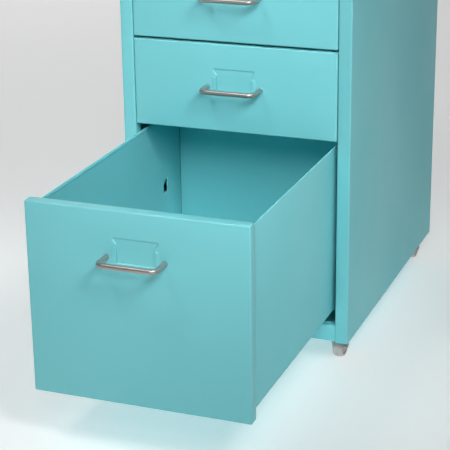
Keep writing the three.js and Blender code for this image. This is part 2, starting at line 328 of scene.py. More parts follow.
def paintFinish():
    material, tree, shader, clouds = startMaterial("tealPowderCoat", tealPaint)
    wear = placeEffect(tree, "bendWear", **tealPaint["wear"])
    peel = placeEffect(tree, "fineGrain", **tealPaint["peel"])
    dust = placeEffect(tree, "restingDust", **tealPaint["dust"])
    thin = mathNode(tree, "MULTIPLY", wear.outputs["Mask"], tealPaint["wearAmount"])
    worn = mixColor(tree, thin, clouds.outputs["Color"], tealPaint["edge"])
    dusted = mixColor(tree, dust.outputs["Mask"], worn, tealPaint["dustColor"])
    tree.links.new(dusted, shader.inputs["Base Color"])
    low, high = tealPaint["roughness"]
    uneven = mathNode(tree, "MULTIPLY_ADD", clouds.outputs["Cloud"], high - low)
    uneven.node.inputs[2].default_value = low
    dull = mathNode(tree, "MULTIPLY", dust.outputs["Mask"], tealPaint["dustRoughness"])
    tree.links.new(mathNode(tree, "ADD", uneven, dull), shader.inputs["Roughness"])
    relief = bumpFrom(tree, peel.outputs["Grain"], tealPaint["peelDepth"], tealPaint["peelStrength"])
    tree.links.new(relief, shader.inputs["Normal"])
    shader.inputs["Specular IOR Level"].default_value = tealPaint["specular"]
    return material


satinMetal = {
    "color": (0.47, 0.435, 0.42, 1),
    "drift": (0.42, 0.39, 0.375, 1),
    "cloudScale": 22.0,
    "brushing": {"Scale": 900.0, "Detail": 3.0, "Stretch": (0.06, 1.0, 1.0)},
    "brushDepth": 0.04 * mm,
    "brushStrength": 0.3,
    "metallic": 0.78,
    "roughness": (0.30, 0.44),
}


def nickelFinish():
    material, tree, shader, clouds = startMaterial("satinNickel", satinMetal)
    brushed = placeEffect(tree, "fineGrain", **satinMetal["brushing"]).outputs["Grain"]
    tree.links.new(clouds.outputs["Color"], shader.inputs["Base Color"])
    tree.links.new(rangeNode(tree, brushed, 0.3, 0.7, satinMetal["roughness"]), shader.inputs["Roughness"])
    relief = bumpFrom(tree, brushed, satinMetal["brushDepth"], satinMetal["brushStrength"])
    tree.links.new(relief, shader.inputs["Normal"])
    shader.inputs["Metallic"].default_value = satinMetal["metallic"]
    return material


zincSkin = {
    "color": (0.50, 0.49, 0.47, 1),
    "drift": (0.40, 0.395, 0.39, 1),
    "cloudScale": 120.0,
    "edge": (0.72, 0.71, 0.69, 1),
    "wear": {"Start": 0.05, "Full": 0.3},
    "wearAmount": 0.45,
    "grain": {"Scale": 1400.0, "Detail": 4.0},
    "grainDepth": 0.05 * mm,
    "grainStrength": 0.4,
    "roughness": (0.26, 0.48),
}


def zincFinish():
    material, tree, shader, clouds = startMaterial("zincPlate", zincSkin)
    wear = placeEffect(tree, "bendWear", **zincSkin["wear"])
    grain = placeEffect(tree, "fineGrain", **zincSkin["grain"])
    rubbed = mathNode(tree, "MULTIPLY", wear.outputs["Mask"], zincSkin["wearAmount"])
    bright = mixColor(tree, rubbed, clouds.outputs["Color"], zincSkin["edge"])
    tree.links.new(bright, shader.inputs["Base Color"])
    rough = rangeNode(tree, clouds.outputs["Cloud"], 0.0, 1.0, zincSkin["roughness"])
    tree.links.new(rough, shader.inputs["Roughness"])
    relief = bumpFrom(tree, grain.outputs["Grain"], zincSkin["grainDepth"], zincSkin["grainStrength"])
    tree.links.new(relief, shader.inputs["Normal"])
    shader.inputs["Metallic"].default_value = 1.0
    return material


mouldedGrey = {
    "color": (0.66, 0.61, 0.60, 1),
    "drift": (0.58, 0.54, 0.53, 1),
    "cloudScale": 90.0,
    "scuff": (0.36, 0.335, 0.325, 1),
    "scuffs": {"Scale": 260.0, "Detail": 6.0, "Stretch": (1.0, 0.35, 0.35)},
    "scuffAmount": 0.5,
    "grain": {"Scale": 1600.0, "Detail": 3.0},
    "grainDepth": 0.06 * mm,
    "grainStrength": 0.4,
    "roughness": (0.42, 0.60),
}


def plasticFinish():
    material, tree, shader, clouds = startMaterial("mouldedGreyPlastic", mouldedGrey)
    grain = placeEffect(tree, "fineGrain", **mouldedGrey["grain"])
    scuffs = placeEffect(tree, "fineGrain", **mouldedGrey["scuffs"]).outputs["Grain"]
    scuffed = mathNode(tree, "MULTIPLY", rangeNode(tree, scuffs, 0.56, 0.72), mouldedGrey["scuffAmount"])
    handled = mixColor(tree, scuffed, clouds.outputs["Color"], mouldedGrey["scuff"])
    tree.links.new(handled, shader.inputs["Base Color"])
    tree.links.new(rangeNode(tree, scuffs, 0.35, 0.7, mouldedGrey["roughness"]), shader.inputs["Roughness"])
    relief = bumpFrom(tree, grain.outputs["Grain"], mouldedGrey["grainDepth"], mouldedGrey["grainStrength"])
    tree.links.new(relief, shader.inputs["Normal"])
    return material


unlitGap = {
    "color": (0.012, 0.05, 0.055, 1),
    "drift": (0.008, 0.035, 0.04, 1),
    "cloudScale": 40.0,
    "roughness": 0.8,
}


def paintedShadeFinish():
    # painted shade: a near-black colour that stands in for the unlit inside of a slot or a fold
    material, tree, shader, clouds = startMaterial("slotShade", unlitGap)
    tree.links.new(clouds.outputs["Color"], shader.inputs["Base Color"])
    shader.inputs["Roughness"].default_value = unlitGap["roughness"]
    return material


paint = paintFinish()
nickel = nickelFinish()
zinc = zincFinish()
plastic = plasticFinish()
slotShade = paintedShadeFinish()
print("finishes mixed")


# Mesh helpers


# which directions an outline's two measures and its length go in, by the axis it is drawn out along
axisOrder = {"x": (1, 2, 0), "y": (0, 2, 1), "z": (0, 1, 2)}


def addPiece(name, bm, materials, smooth=40):
    bmesh.ops.recalc_face_normals(bm, faces=bm.faces)
    mesh = bpy.data.meshes.new(name)
    bm.to_mesh(mesh)
    bm.free()
    for material in materials:
        mesh.materials.append(material)
    mesh.shade_smooth()
    mesh.set_sharp_from_angle(angle=math.radians(smooth))
    piece = bpy.data.objects.new(name, mesh)
    bpy.context.scene.collection.objects.link(piece)
    return piece


def settle(piece, body, slotName, *replaced):
    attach(piece, body)
    if replaced:
        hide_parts(*replaced)


def ease(value):
    value = min(max(value, 0.0), 1.0)
    return value * value * (3 - 2 * value)


def circle(radius, count):
    angles = [2 * math.pi * step / count for step in range(count)]
    return [(radius * math.cos(angle), radius * math.sin(angle)) for angle in angles]


def joinRings(bm, first, second):
    # a band of faces between two rings; a ring of one point makes a fan
    count = max(len(first), len(second))
    for step in range(count):
        after = (step + 1) % count
        corners = [first[step % len(first)], first[after % len(first)]]
        corners += [second[after % len(second)], second[step % len(second)]]
        corners = list(dict.fromkeys(corners))
        if len(corners) > 2:
            bm.faces.new(corners)


def joinAll(bm, rings):
    for first, second in zip(rings, rings[1:]):
        joinRings(bm, first, second)


def capped(bm, rings):
    joinAll(bm, rings)
    bm.faces.new(rings[0])
    bm.faces.new(rings[-1])
    return bm


def softenEdges(bm, width, angle=50):
    edges = [e for e in bm.edges if e.is_manifold and e.calc_face_angle(0) > math.radians(angle)]
    bmesh.ops.bevel(
        bm, geom=edges, offset=width, offset_type="OFFSET", segments=2, profile=0.5,
        affect="EDGES", clamp_overlap=True,
    )
    return bm


def sheetPairs(corners, thickness, steps=6):
    # pairs of points on a folded sheet's two faces, from its middle line's corners (u, v, bend radius)
    skin = thickness / 2
    points = [Vector(corner[:2]) for corner in corners]
    pairs = []

    def add(point, normal):
        pairs.append((point + normal * skin, point - normal * skin))

    def leftOf(way):
        return Vector((-way.y, way.x))

    for index, point in enumerate(points):
        before = (point - points[index - 1]).normalized() if index else None
        after = (points[index + 1] - point).normalized() if index < len(points) - 1 else None
        if before is None or after is None:
            add(point, leftOf(before or after))
            continue
        turn = math.atan2(before.x * after.y - before.y * after.x, before.dot(after))
        radius = corners[index][2]
        if abs(turn) < 1e-4:
            add(point, leftOf(before))
            continue
        side = math.copysign(1, turn)
        start = point - before * radius * math.tan(abs(turn) / 2)
        centre = start + leftOf(before) * side * radius
        for step in range(steps + 1):
            normal = Matrix.Rotation(turn * step / steps, 2) @ leftOf(before)
            add(centre - normal * side * radius, normal)
    return pairs


def foldedSheet(corners, axis, stations, thickness, isCut=None):
    # draws a folded sheet out along an axis; isCut(u, v, w) says which of its patches are holes
    pairs = sheetPairs(corners, thickness)
    bm = bmesh.new()
    order = axisOrder[axis]

    def place(point, along):
        spot = [0, 0, 0]
        spot[order[0]], spot[order[1]], spot[order[2]] = point.x, point.y, along
        return bm.verts.new(spot)

    grid = [[[place(face, along) for along in stations] for face in pair] for pair in pairs]
    rows, columns = len(pairs) - 1, len(stations) - 1

    def present(row, column):
        if not (0 <= row < rows and 0 <= column < columns):
            return False
        if isCut is None:
            return True
        middle = (pairs[row][0] + pairs[row][1] + pairs[row + 1][0] + pairs[row + 1][1]) / 4
        return not isCut(middle.x, middle.y, (stations[column] + stations[column + 1]) / 2)

    for row in range(rows):
        for column in range(columns):
            if not present(row, column):
                continue
            for face in (0, 1):
                bm.faces.new((
                    grid[row][face][column], grid[row + 1][face][column],
                    grid[row + 1][face][column + 1], grid[row][face][column + 1],
                ))
            sides = (
                ((row - 1, column), (row, column), (row, column + 1)),
                ((row + 1, column), (row + 1, column), (row + 1, column + 1)),
                ((row, column - 1), (row, column), (row + 1, column)),
                ((row, column + 1), (row, column + 1), (row + 1, column + 1)),
            )
            for neighbour, (r0, c0), (r1, c1) in sides:
                if not present(*neighbour):
                    bm.faces.new((grid[r0][0][c0], grid[r1][0][c1], grid[r1][1][c1], grid[r0][1][c0]))
    loose = [v for v in bm.verts if not v.link_faces]
    bmesh.ops.delete(bm, geom=loose, context="VERTS")
    return bm


def cutSheet(corners, axis, stations, shape, isCut=None):
    # a folded sheet with its cut edges softened, in the thickness of its shape dictionary
    return softenEdges(foldedSheet(corners, axis, stations, shape["sheet"], isCut), shape["cutEdge"])


def turned(profile, segments=48):
    # turns (radius, along) points round the x axis; a profile that meets the axis closes there
    bm = bmesh.new()
    rings = []
    for radius, along in profile:
        spots = circle(radius, segments) if radius > 1e-9 else [(0, 0)]
        rings.append([bm.verts.new((along, y, z)) for y, z in spots])
    joinAll(bm, rings)
    if len(rings[0]) > 1:
        joinRings(bm, rings[-1], rings[0])
    return bm


def rounded(points, radius, steps=4):
    # a turning profile with its inner corners rounded
    made = [points[0]]
    for before, corner, after in zip(points, points[1:], points[2:]):
        corner = Vector(corner)
        inward, outward = Vector(before) - corner, Vector(after) - corner
        reach = min(radius, inward.length * 0.45, outward.length * 0.45)
        start, end = corner + inward.normalized() * reach, corner + outward.normalized() * reach
        for step in range(steps + 1):
            t = step / steps
            spot = start * (1 - t) ** 2 + corner * 2 * t * (1 - t) + end * t ** 2
            made.append((spot.x, spot.y))
    return made + [points[-1]]


def moved(bm, matrix):
    bmesh.ops.transform(bm, matrix=matrix, verts=bm.verts)
    return bm


def softenedCopy(node, width):
    bm = bmesh.new()
    bm.from_mesh(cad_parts[node].data)
    bmesh.ops.remove_doubles(bm, verts=bm.verts, dist=2e-6)
    bmesh.ops.dissolve_limit(bm, angle_limit=math.radians(0.5), verts=bm.verts, edges=bm.edges)
    return softenEdges(bm, width)


# Carcass

carcass = {
    "sheet": 0.8 * mm,
    "fold": 1.3 * mm,
    "railFold": 1.6 * mm,
    "cutEdge": 0.16 * mm,
    "flangeReturn": 14 * mm,
    "rearFlange": 12 * mm,
    "railGap": 2 * mm,  # the rail's lower return stops this short of its upper one
    "runnerLip": 5 * mm,
    "coverEdge": 0.2 * mm,
}


def spanFromMiddle(low, high, side):
    # a one-sided piece's far and near sheet middles, in x
    skin = carcass["sheet"] / 2
    far = side * (max(abs(low.x), abs(high.x)) - skin)
    near = side * (min(abs(low.x), abs(high.x)) + skin)
    return far, near


def buildSidePanel(name, side):
    node = f"side_panel_{name}"
    low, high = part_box(node)
    skin, fold = carcass["sheet"] / 2, carcass["fold"]
    web, inner = spanFromMiddle(low, high, side)
    corners = [
        (inner, low.y + carcass["flangeReturn"], 0),
        (inner, low.y + skin, fold),
        (web, low.y + skin, fold),
        (web, high.y - skin, fold),
        (web - side * (carcass["rearFlange"] - skin), high.y - skin, 0),
    ]
    bm = cutSheet(corners, "z", [low.z, high.z], carcass)
    settle(addPiece(f"sidePanel_{name}", bm, [paint]), "cabinet", "powder_teal", node)


def buildBaseRail():
    low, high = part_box("base_rail")
    skin = carcass["sheet"] / 2
    corners = [
        (high.y - carcass["railGap"], low.z + skin, 0),
        (low.y + skin, low.z + skin, carcass["fold"]),
        (low.y + skin, high.z - skin, carcass["railFold"]),
        (high.y, high.z - skin, 0),
    ]
    bm = cutSheet(corners, "x", [low.x, high.x], carcass)
    settle(addPiece("baseRail", bm, [paint]), "cabinet", "powder_teal", "base_rail")


def buildBackPanel():
    low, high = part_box("back_panel")
    skin, fold = carcass["sheet"] / 2, carcass["fold"]
    corners = [
        (low.x + skin, low.y, 0),
        (low.x + skin, high.y - skin, fold),
        (high.x - skin, high.y - skin, fold),
        (high.x - skin, low.y, 0),
    ]
    bm = cutSheet(corners, "z", [low.z, high.z], carcass)
    settle(addPiece("backPanel", bm, [paint]), "cabinet", "powder_teal", "back_panel")


def buildRunner(name, side, number):
    node = f"runner_{name}_{number}"
    low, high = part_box(node)
    fold = carcass["fold"]
    web, tip = spanFromMiddle(low, high, side)
    ledge = low.z + carcass["runnerLip"]
    corners = [(web, high.z, 0), (web, ledge, fold), (tip, ledge, fold), (tip, low.z, 0)]
    bm = cutSheet(corners, "y", [low.y, high.y], carcass)
    settle(addPiece(f"runner_{name}_{number}_sheet", bm, [paint]), "cabinet", "powder_teal", node)


for sideName, sideSign in (("left", -1), ("right", 1)):
    buildSidePanel(sideName, sideSign)
    for drawerNumber in drawerNumbers:
        buildRunner(sideName, sideSign, drawerNumber)
buildBaseRail()
buildBackPanel()
for nodeName, pieceName in (("top_panel", "topPanel"), ("bottom_panel", "bottomPanel")):
    cover = addPiece(pieceName, softenedCopy(nodeName, carcass["coverEdge"]), [paint])
    settle(cover, "cabinet", "powder_teal", nodeName)
print("carcass built")


# Drawer fronts: a folded pan whose face carries the pressed label holder

frontShape = {
    "sheet": 0.8,
    "bend": 1.7,
    "bendSteps": 6,
    "cornerSteps": 5,
    "rim": 0.2,  # the softened edge of the returns
    "smooth": 34,
}

# both in millimetres, measured down from the front's upper edge and out from its middle
labelShape = {
    "top": 28.3,
    "topSlope": 2.2,
    "bottom": 57.4,
    "bottomSlope": 1.7,
    "wideHalf": 26.2,
    "narrowHalf": 21.4,
    "shoulder": (30.5, 37.0),
    "sideSlope": 2.4,
    "slotSlope": 0.12,
    "depth": 1.15,
    "lipRaise": 0.6,
    "lipEnds": (37.6, 56.4),
    "lipRamp": 2.4,
    "lipOuter": (24.0, 27.4),
    "slotWidth": 0.6,
    "slotDepth": 1.95,
    "slotEdge": 0.04,
    "grid": 0.45,
    "gridHalf": 29,
    "gridMargin": 1.5,
}


def inSlot(x, down):
    half, (start, end) = labelShape["narrowHalf"], labelShape["lipEnds"]
    return half - labelShape["slotWidth"] < abs(x) < half and start < down < end


def recessDepth(x, down):
    # how far the face is pressed in, without the slots and lips
    start, end = labelShape["shoulder"]
    narrowing = ease((down - start) / (end - start))
    half = labelShape["wideHalf"] + (labelShape["narrowHalf"] - labelShape["wideHalf"]) * narrowing
    slope = labelShape["sideSlope"] * (1 - narrowing) + labelShape["slotSlope"] * narrowing
    into = ease((down - labelShape["top"]) / labelShape["topSlope"])
    outOf = ease((labelShape["bottom"] - down) / labelShape["bottomSlope"])
    return labelShape["depth"] * into * outOf * ease((half - abs(x)) / slope)


def faceRelief(x, down):
    if inSlot(x, down):
        return labelShape["slotDepth"]
    relief = recessDepth(x, down)
    half = labelShape["narrowHalf"]
    if abs(x) >= half:
        start, end = labelShape["lipEnds"]
        inner, outer = labelShape["lipOuter"]
        across = 1 - ease((abs(x) - inner) / (outer - inner))
        ramp = labelShape["lipRamp"]
        along = ease((down - start) / ramp) * ease((end - down) / ramp)
        relief -= labelShape["lipRaise"] * across * along
    return relief


def gridLines(low, high, fineLow, fineHigh, extra):
    # coarse outside the label, even and fine across it, with lines along the slots' edges
    lines = {low, high}
    count = round((fineHigh - fineLow) / labelShape["grid"])
    lines.update(fineLow + (fineHigh - fineLow) * index / count for index in range(count + 1))
    lines.update(extra)
    return sorted(lines)


def faceLines(half, height):
    hair, margin = labelShape["slotEdge"], labelShape["gridMargin"]
    slotSide, slotWidth, bend = labelShape["narrowHalf"], labelShape["slotWidth"], frontShape["bend"]
    slotSides = [
        sign * (slotSide - offset)
        for sign in (-1, 1)
        for offset in (-hair, hair, slotWidth - hair, slotWidth + hair)
    ]
    slotEnds = [end + offset for end in labelShape["lipEnds"] for offset in (-hair, hair)]
    gridHalf, top, bottom = labelShape["gridHalf"], labelShape["top"] - margin, labelShape["bottom"] + margin
    across = gridLines(-half + bend, half - bend, -gridHalf, gridHalf, slotSides)
    return across, gridLines(bend, height - bend, top, bottom, slotEnds)


def rimStations(columns, rows):
    # the face's outline as (column, row, direction), with a fan of directions at each corner
    sides = [
        ([(i, 0) for i in range(1, columns)], 90, (columns, 0)),
        ([(columns, j) for j in range(1, rows)], 0, (columns, rows)),
        ([(i, rows) for i in range(columns - 1, 0, -1)], -90, (0, rows)),
        ([(0, j) for j in range(rows - 1, 0, -1)], -180, (0, 0)),
    ]
    stations = []
    steps = frontShape["cornerSteps"]
    for spots, angle, corner in sides:
        stations += [(*spot, angle) for spot in spots]
        stations += [(*corner, angle - 90 * step / steps) for step in range(steps + 1)]
    return stations


def returnProfile(depth):
    # (out, into) from the face's edge, round the bend, down the return and back up its inside
    bend, rim, steps = frontShape["bend"], frontShape["rim"], frontShape["bendSteps"]
    shallow = bend - frontShape["sheet"]
    soft = rim * 0.3
    quarter = [math.pi / 2 * step / steps for step in range(1, steps + 1)]
    profile = [(bend * math.sin(a), bend * (1 - math.cos(a))) for a in quarter]
    profile += [(bend, depth - rim), (bend - soft, depth - soft), (bend - rim, depth)]
    profile += [(shallow + rim, depth), (shallow + soft, depth - soft), (shallow, depth - rim)]
    profile += [(shallow * math.sin(a), bend - shallow * math.cos(a)) for a in reversed(quarter)]
    return profile


def buildFront(number):
    node = f"drawer_{number}_front"
    low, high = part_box(node)
    height, half, depth = (high.z - low.z) / mm, (high.x - low.x) / 2 / mm, (high.y - low.y) / mm
    acrossLines, downLines = faceLines(half, height)
    columns, rows = len(acrossLines) - 1, len(downLines) - 1
    bm = bmesh.new()

    def at(x, down, into):
        return bm.verts.new((x * mm, low.y + into * mm, high.z - down * mm))

    def behind(x, down):
        return frontShape["sheet"] + recessDepth(x, down)

    outer = [[at(x, down, faceRelief(x, down)) for down in downLines] for x in acrossLines]
    inner = [[at(x, down, behind(x, down)) for down in downLines] for x in acrossLines]
    for i in range(columns):
        for j in range(rows):
            x, down = (acrossLines[i] + acrossLines[i + 1]) / 2, (downLines[j] + downLines[j + 1]) / 2
            for grid in (outer, inner):
                face = bm.faces.new((grid[i][j], grid[i + 1][j], grid[i + 1][j + 1], grid[i][j + 1]))
                # painted shade: the slot floor faces take the near-black slotShade colour in place of the
                # shadow inside the slot
                if grid is outer and inSlot(x, down):
                    face.material_index = 1
    stations = rimStations(columns, rows)

    def loop(out, into):
        ring = []
        for i, j, degrees in stations:
            angle = math.radians(degrees)
            x, down = acrossLines[i] + out * math.cos(angle), downLines[j] - out * math.sin(angle)
            ring.append(at(x, down, into))
        return ring

    rings = [[outer[i][j] for i, j, degrees in stations]]
    rings += [loop(*spot) for spot in returnProfile(depth)]
    rings += [[inner[i][j] for i, j, degrees in stations]]
    joinAll(bm, rings)
    piece = addPiece(f"drawer_{number}_frontPan", bm, [paint, slotShade], frontShape["smooth"])
    settle(piece, f"drawer_{number}", "powder_teal", node)


for drawerNumber in drawerNumbers:
    buildFront(drawerNumber)
print("drawer fronts pressed")


# Drawer bodies

trayShape = {
    "outerHalf": 119 * mm,
    "sheet": 0.8 * mm,
    "fold": 1.6 * mm,
    "hemGap": 1.15 * mm,
    "hemHeight": 2.6 * mm,
    "backSeam": 1.3 * mm,
    "backDrop": 0.6 * mm,  # the back sheet ends this far below the sides' tops
    "seamDepth": 3 * mm,
    "cutEdge": 0.16 * mm,
    "wallGap": 0.2 * mm,
    "wallSide": 0.15 * mm,
    "wallDrop": 1 * mm,
    "wallReturn": 7 * mm,
    "wallFold": 1.0 * mm,
    "stopWidth": 12 * mm,
    "stopHeight": 18 * mm,
    "stopBack": 50 * mm,
    "stopReach": 6.6 * mm,
    "stopLevel": 0.56,  # of the tray's height
    "stopBend": 1.6 * mm,
    "stopBendRadius": 2.2 * mm,
    "stopMargin": 1.2 * mm,
}


def stopWindow(number):
    # the hole that a stop tongue is lanced from: its rear, front, top and low edges
    low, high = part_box(f"drawer_{number}_tray")
    level = low.z + (high.z - low.z) * trayShape["stopLevel"]
    middle = high.y - trayShape["stopBack"]
    halfWidth, halfHeight = trayShape["stopWidth"] / 2, trayShape["stopHeight"] / 2
    return middle + halfWidth, middle - halfWidth, level + halfHeight, level - halfHeight


def buildTray(number):
    node, body = f"drawer_{number}_tray", f"drawer_{number}"
    low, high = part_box(node)
    sheet, fold, gap = trayShape["sheet"], trayShape["fold"], trayShape["hemGap"]
    side = trayShape["outerHalf"] - sheet / 2
    floor, top = low.z + sheet / 2, high.z - sheet / 2
    rear, front, stopTop, stopLow = stopWindow(number)
    hem = [(-side + gap, top - trayShape["hemHeight"], 0), (-side + gap, top, gap / 2), (-side, top, gap / 2)]
    left = hem + [(-side, stopTop, 0), (-side, stopLow, 0), (-side, floor, fold)]
    right = [(-x, z, radius) for x, z, radius in reversed(left)]

    def isCut(x, z, y):
        return abs(x) > side - gap / 2 and stopLow < z < stopTop and front < y < rear

    stations = [low.y, front, rear, high.y - trayShape["backSeam"]]
    bm = cutSheet(left + right, "y", stations, trayShape, isCut)
    settle(addPiece(f"drawer_{number}_body", bm, [paint]), body, "powder_teal", node)


def buildInnerFront(number):
    low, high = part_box(f"drawer_{number}_tray")
    sheet, hem = trayShape["sheet"], trayShape["hemGap"] + trayShape["sheet"]
    inset = trayShape["outerHalf"] - sheet - trayShape["wallSide"] - hem
    wall, top = low.y + trayShape["wallGap"] + sheet / 2, high.z - sheet / 2 - trayShape["wallDrop"]
    corners = [
        (wall, low.z + sheet * 1.5, 0),
        (wall, top, trayShape["wallFold"]),
        (wall + trayShape["wallReturn"], top, 0),
    ]
    bm = cutSheet(corners, "x", [-inset, inset], trayShape)
    settle(addPiece(f"drawer_{number}_innerFront", bm, [paint]), f"drawer_{number}", "powder_teal")


def buildStop(number, name, sign):
    rear, front, stopTop, stopLow = stopWindow(number)
    wall = sign * (trayShape["outerHalf"] - trayShape["sheet"] / 2)
    margin = trayShape["stopMargin"]
    corners = [
        (wall, stopTop + 0.02 * mm, 0),
        (wall, stopTop - trayShape["stopBend"], trayShape["stopBendRadius"]),
        (wall + sign * trayShape["stopReach"], stopLow + margin, 0),
    ]
    bm = cutSheet(corners, "y", [front + margin, rear - margin], trayShape)
    settle(addPiece(f"drawer_{number}_stop_{name}", bm, [paint]), f"drawer_{number}", "powder_teal")


def inSeam(face, high):
    # painted shade: faces on the inside of the fold that the tray's sides stand in, which take the near-black
    # slotShade colour
    middle = face.calc_center_median()
    across = high.x - abs(middle.x)
    deep = 0.5 * mm < high.y - middle.y < trayShape["seamDepth"] + 0.2 * mm
    return deep and 0.5 * mm < across < 1.6 * mm and abs(face.normal.z) < 0.5


def buildDrawerBack(number):
    node = f"drawer_{number}_back"
    low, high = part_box(node)
    fold, skin = trayShape["fold"], trayShape["sheet"] / 2
    corners = [
        (low.x + skin, low.y, 0),
        (low.x + skin, high.y - trayShape["seamDepth"], 0),
        (low.x + skin, high.y - skin, fold),
        (high.x - skin, high.y - skin, fold),
        (high.x - skin, high.y - trayShape["seamDepth"], 0),
        (high.x - skin, low.y, 0),
    ]
    bm = cutSheet(corners, "z", [low.z, high.z - trayShape["backDrop"]], trayShape)
    # painted shade: the fold's inside faces get slotShade, the rest the teal paint
    for face in bm.faces:
        face.material_index = 1 if inSeam(face, high) else 0
    piece = addPiece(f"drawer_{number}_rearSheet", bm, [paint, slotShade])
    settle(piece, f"drawer_{number}", "powder_teal", node)


for drawerNumber in drawerNumbers:
    buildTray(drawerNumber)
    buildInnerFront(drawerNumber)
    for sideName, sideSign in (("left", -1), ("right", 1)):
        buildStop(drawerNumber, sideName, sideSign)
    buildDrawerBack(drawerNumber)
print("drawer bodies folded")


# Handles: one bent rod each

handleShape = {
    "rod": 3 * mm,
    "bend": 8 * mm,
    "bendSteps": 12,
    "sides": 28,
    "root": 0.6 * mm,
}


def buildHandle(number):
    node = f"drawer_{number}_handle"
    low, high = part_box(node)
    rod, bend = handleShape["rod"], handleShape["bend"]
    half, level = high.x - rod, (low.z + high.z) / 2
    bar, face = low.y + rod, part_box(f"drawer_{number}_front")[0].y
    path = [(Vector((-half, face + handleShape["root"])), Vector((0, -1)))]
    for sign, first, last in ((-1, 180, 270), (1, 270, 360)):
        centre = Vector((sign * (half - bend), bar + bend))
        for step in range(handleShape["bendSteps"] + 1):
            angle = math.radians(first + (last - first) * step / handleShape["bendSteps"])
            out = Vector((math.cos(angle), math.sin(angle)))
            path.append((centre + out * bend, Vector((-out.y, out.x))))
    path.append((Vector((half, face + handleShape["root"])), Vector((0, 1))))
    bm = bmesh.new()
    rings = []
    for point, way in path:
        across = Vector((way.y, -way.x))
        ring = []
        for out, rise in circle(rod, handleShape["sides"]):
            spot = point + across * out
            ring.append(bm.verts.new((spot.x, spot.y, level + rise)))
        rings.append(ring)
    piece = addPiece(f"drawer_{number}_barHandle", capped(bm, rings), [nickel])
    settle(piece, f"drawer_{number}", "satin_nickel", node)


for drawerNumber in drawerNumbers:
    buildHandle(drawerNumber)
print("handles bent")


# Casters

casterShape = {
    "sheet": 1.5 * mm,
    "crownFront": 9 * mm,
    "crownRear": 12 * mm,
    "crownCut": 0.8 * mm,
    "trail": 7 * mm,
    "eye": 4.6 * mm,
    "fold": 2.0 * mm,
    "foldSteps": 5,
    "shoulder": 5.5 * mm,
    "forkEdge": 0.25 * mm,
    "plateCorner": 3 * mm,
    "plateEdge": 0.2 * mm,
    "raceGap": 0.3 * mm,
    "raceRound": 0.35 * mm,
}

wheelShape = {
    "bore": 2.3 * mm,
    "hub": 4.6 * mm,
    "hubFoot": 5.2 * mm,
    "hubInset": 0.2 * mm,
    "webInset": 1.8 * mm,
    "rim": 4.6 * mm,
    "groove": 0.25 * mm,
    "round": 0.9 * mm,
    "floorGap": 0.05 * mm,
    "segments": 64,
}

axleShape = {"shaft": 2 * mm, "head": 1.0 * mm, "domeAngles": (0, 0.3, 0.6, 0.9, 1.2, 1.45), "segments": 40}


def buildWheel(place):
    node = f"caster_wheel_{place}"
    low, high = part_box(node)
    centre, half = (low + high) / 2, (high.x - low.x) / 2
    radius = (high.z - low.z) / 2 - wheelShape["floorGap"]
    side = [
        (wheelShape["bore"], half - wheelShape["hubInset"]),
        (wheelShape["hub"], half - wheelShape["hubInset"]),
        (wheelShape["hubFoot"], half - wheelShape["webInset"] + 0.2 * mm),
        (radius - wheelShape["rim"], half - wheelShape["webInset"]),
        (radius - wheelShape["rim"] + 0.7 * mm, half - 0.4 * mm),
        (radius - 2.4 * mm, half - 0.5 * mm),
        (radius - 0.5 * mm, half - 2.8 * mm),
        (radius, half * 0.3),
        (radius, wheelShape["groove"]),
    ]
    middle = (radius - wheelShape["groove"], 0)
    profile = [(r, -x) for r, x in side] + [middle] + [(r, x) for r, x in reversed(side)]
    bm = turned(rounded(profile, wheelShape["round"]), wheelShape["segments"])
    piece = addPiece(f"casterWheel_{place}", moved(bm, Matrix.Translation(centre)), [plastic], 50)
    settle(piece, f"caster_{place}_wheel", "grey_plastic", node)


def buildAxle(place):
    node = f"caster_axle_{place}"
    low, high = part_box(node)
    centre, half, head = (low + high) / 2, (high.x - low.x) / 2, (high.z - low.z) / 2
    rise, shaft = axleShape["head"], axleShape["shaft"]
    neck = half - rise
    dome = [(head * math.cos(a), neck + rise * math.sin(a)) for a in axleShape["domeAngles"]]
    profile = [(0, -half), *[(r, -x) for r, x in reversed(dome)], (shaft, -neck)]
    profile += [(shaft, neck), *dome, (0, half)]
    bm = moved(turned(profile, axleShape["segments"]), Matrix.Translation(centre))
    settle(addPiece(f"casterAxle_{place}", bm, [zinc], 50), f"caster_{place}_fork", "zinc_plate", node)


